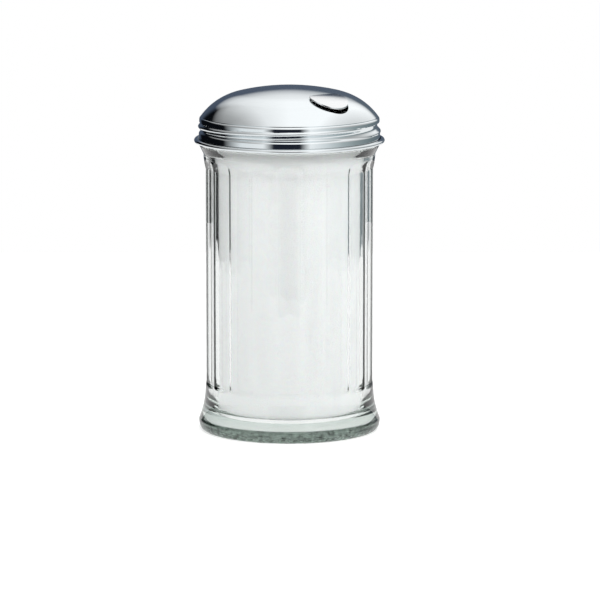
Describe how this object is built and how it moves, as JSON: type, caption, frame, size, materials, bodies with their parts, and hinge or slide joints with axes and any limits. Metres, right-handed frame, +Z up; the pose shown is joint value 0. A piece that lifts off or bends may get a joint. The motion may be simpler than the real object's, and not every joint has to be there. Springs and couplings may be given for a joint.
{
  "type": "sugar dispenser with flap",
  "caption": "Fluted glass sugar jar with a domed steel screw lid and a hinged flap over its pouring hole.",
  "frame": {"origin": "centre of the base, at the height of the table", "axes": "+Z up along the jar's axis; the camera of the picture looks along +Y with +X to its right, and the pouring hole is at 49.5 degrees from +X towards -Y"},
  "size_m": [0.0774, 0.0774, 0.1407],
  "materials": {
    "pressed_glass": "gloss",
    "white_sugar": "matte",
    "polished_steel": "polished",
    "leaf_steel": "satin",
    "mill_steel": "satin"
  },
  "bodies": {
    "jar": {"glass_jar": "pressed_glass", "sugar_fill": "white_sugar"},
    "lid": {"lid_shell": "polished_steel", "hinge_bracket": "mill_steel", "hinge_pin": "mill_steel"},
    "flap": {"pour_flap": "leaf_steel"}
  },
  "joints": [
    {"name": "lid_lift", "type": "slide", "parent": "jar", "child": "lid", "axis": [0, 0, 1], "range_m": [0, 0.03]},
    {"name": "flap_swing", "type": "hinge", "parent": "lid", "child": "flap", "pos_m": [0.01234, -0.01445, 0.13766], "axis": [-0.7604, -0.6494, 0], "range_deg": [0, 60]}
  ]
}
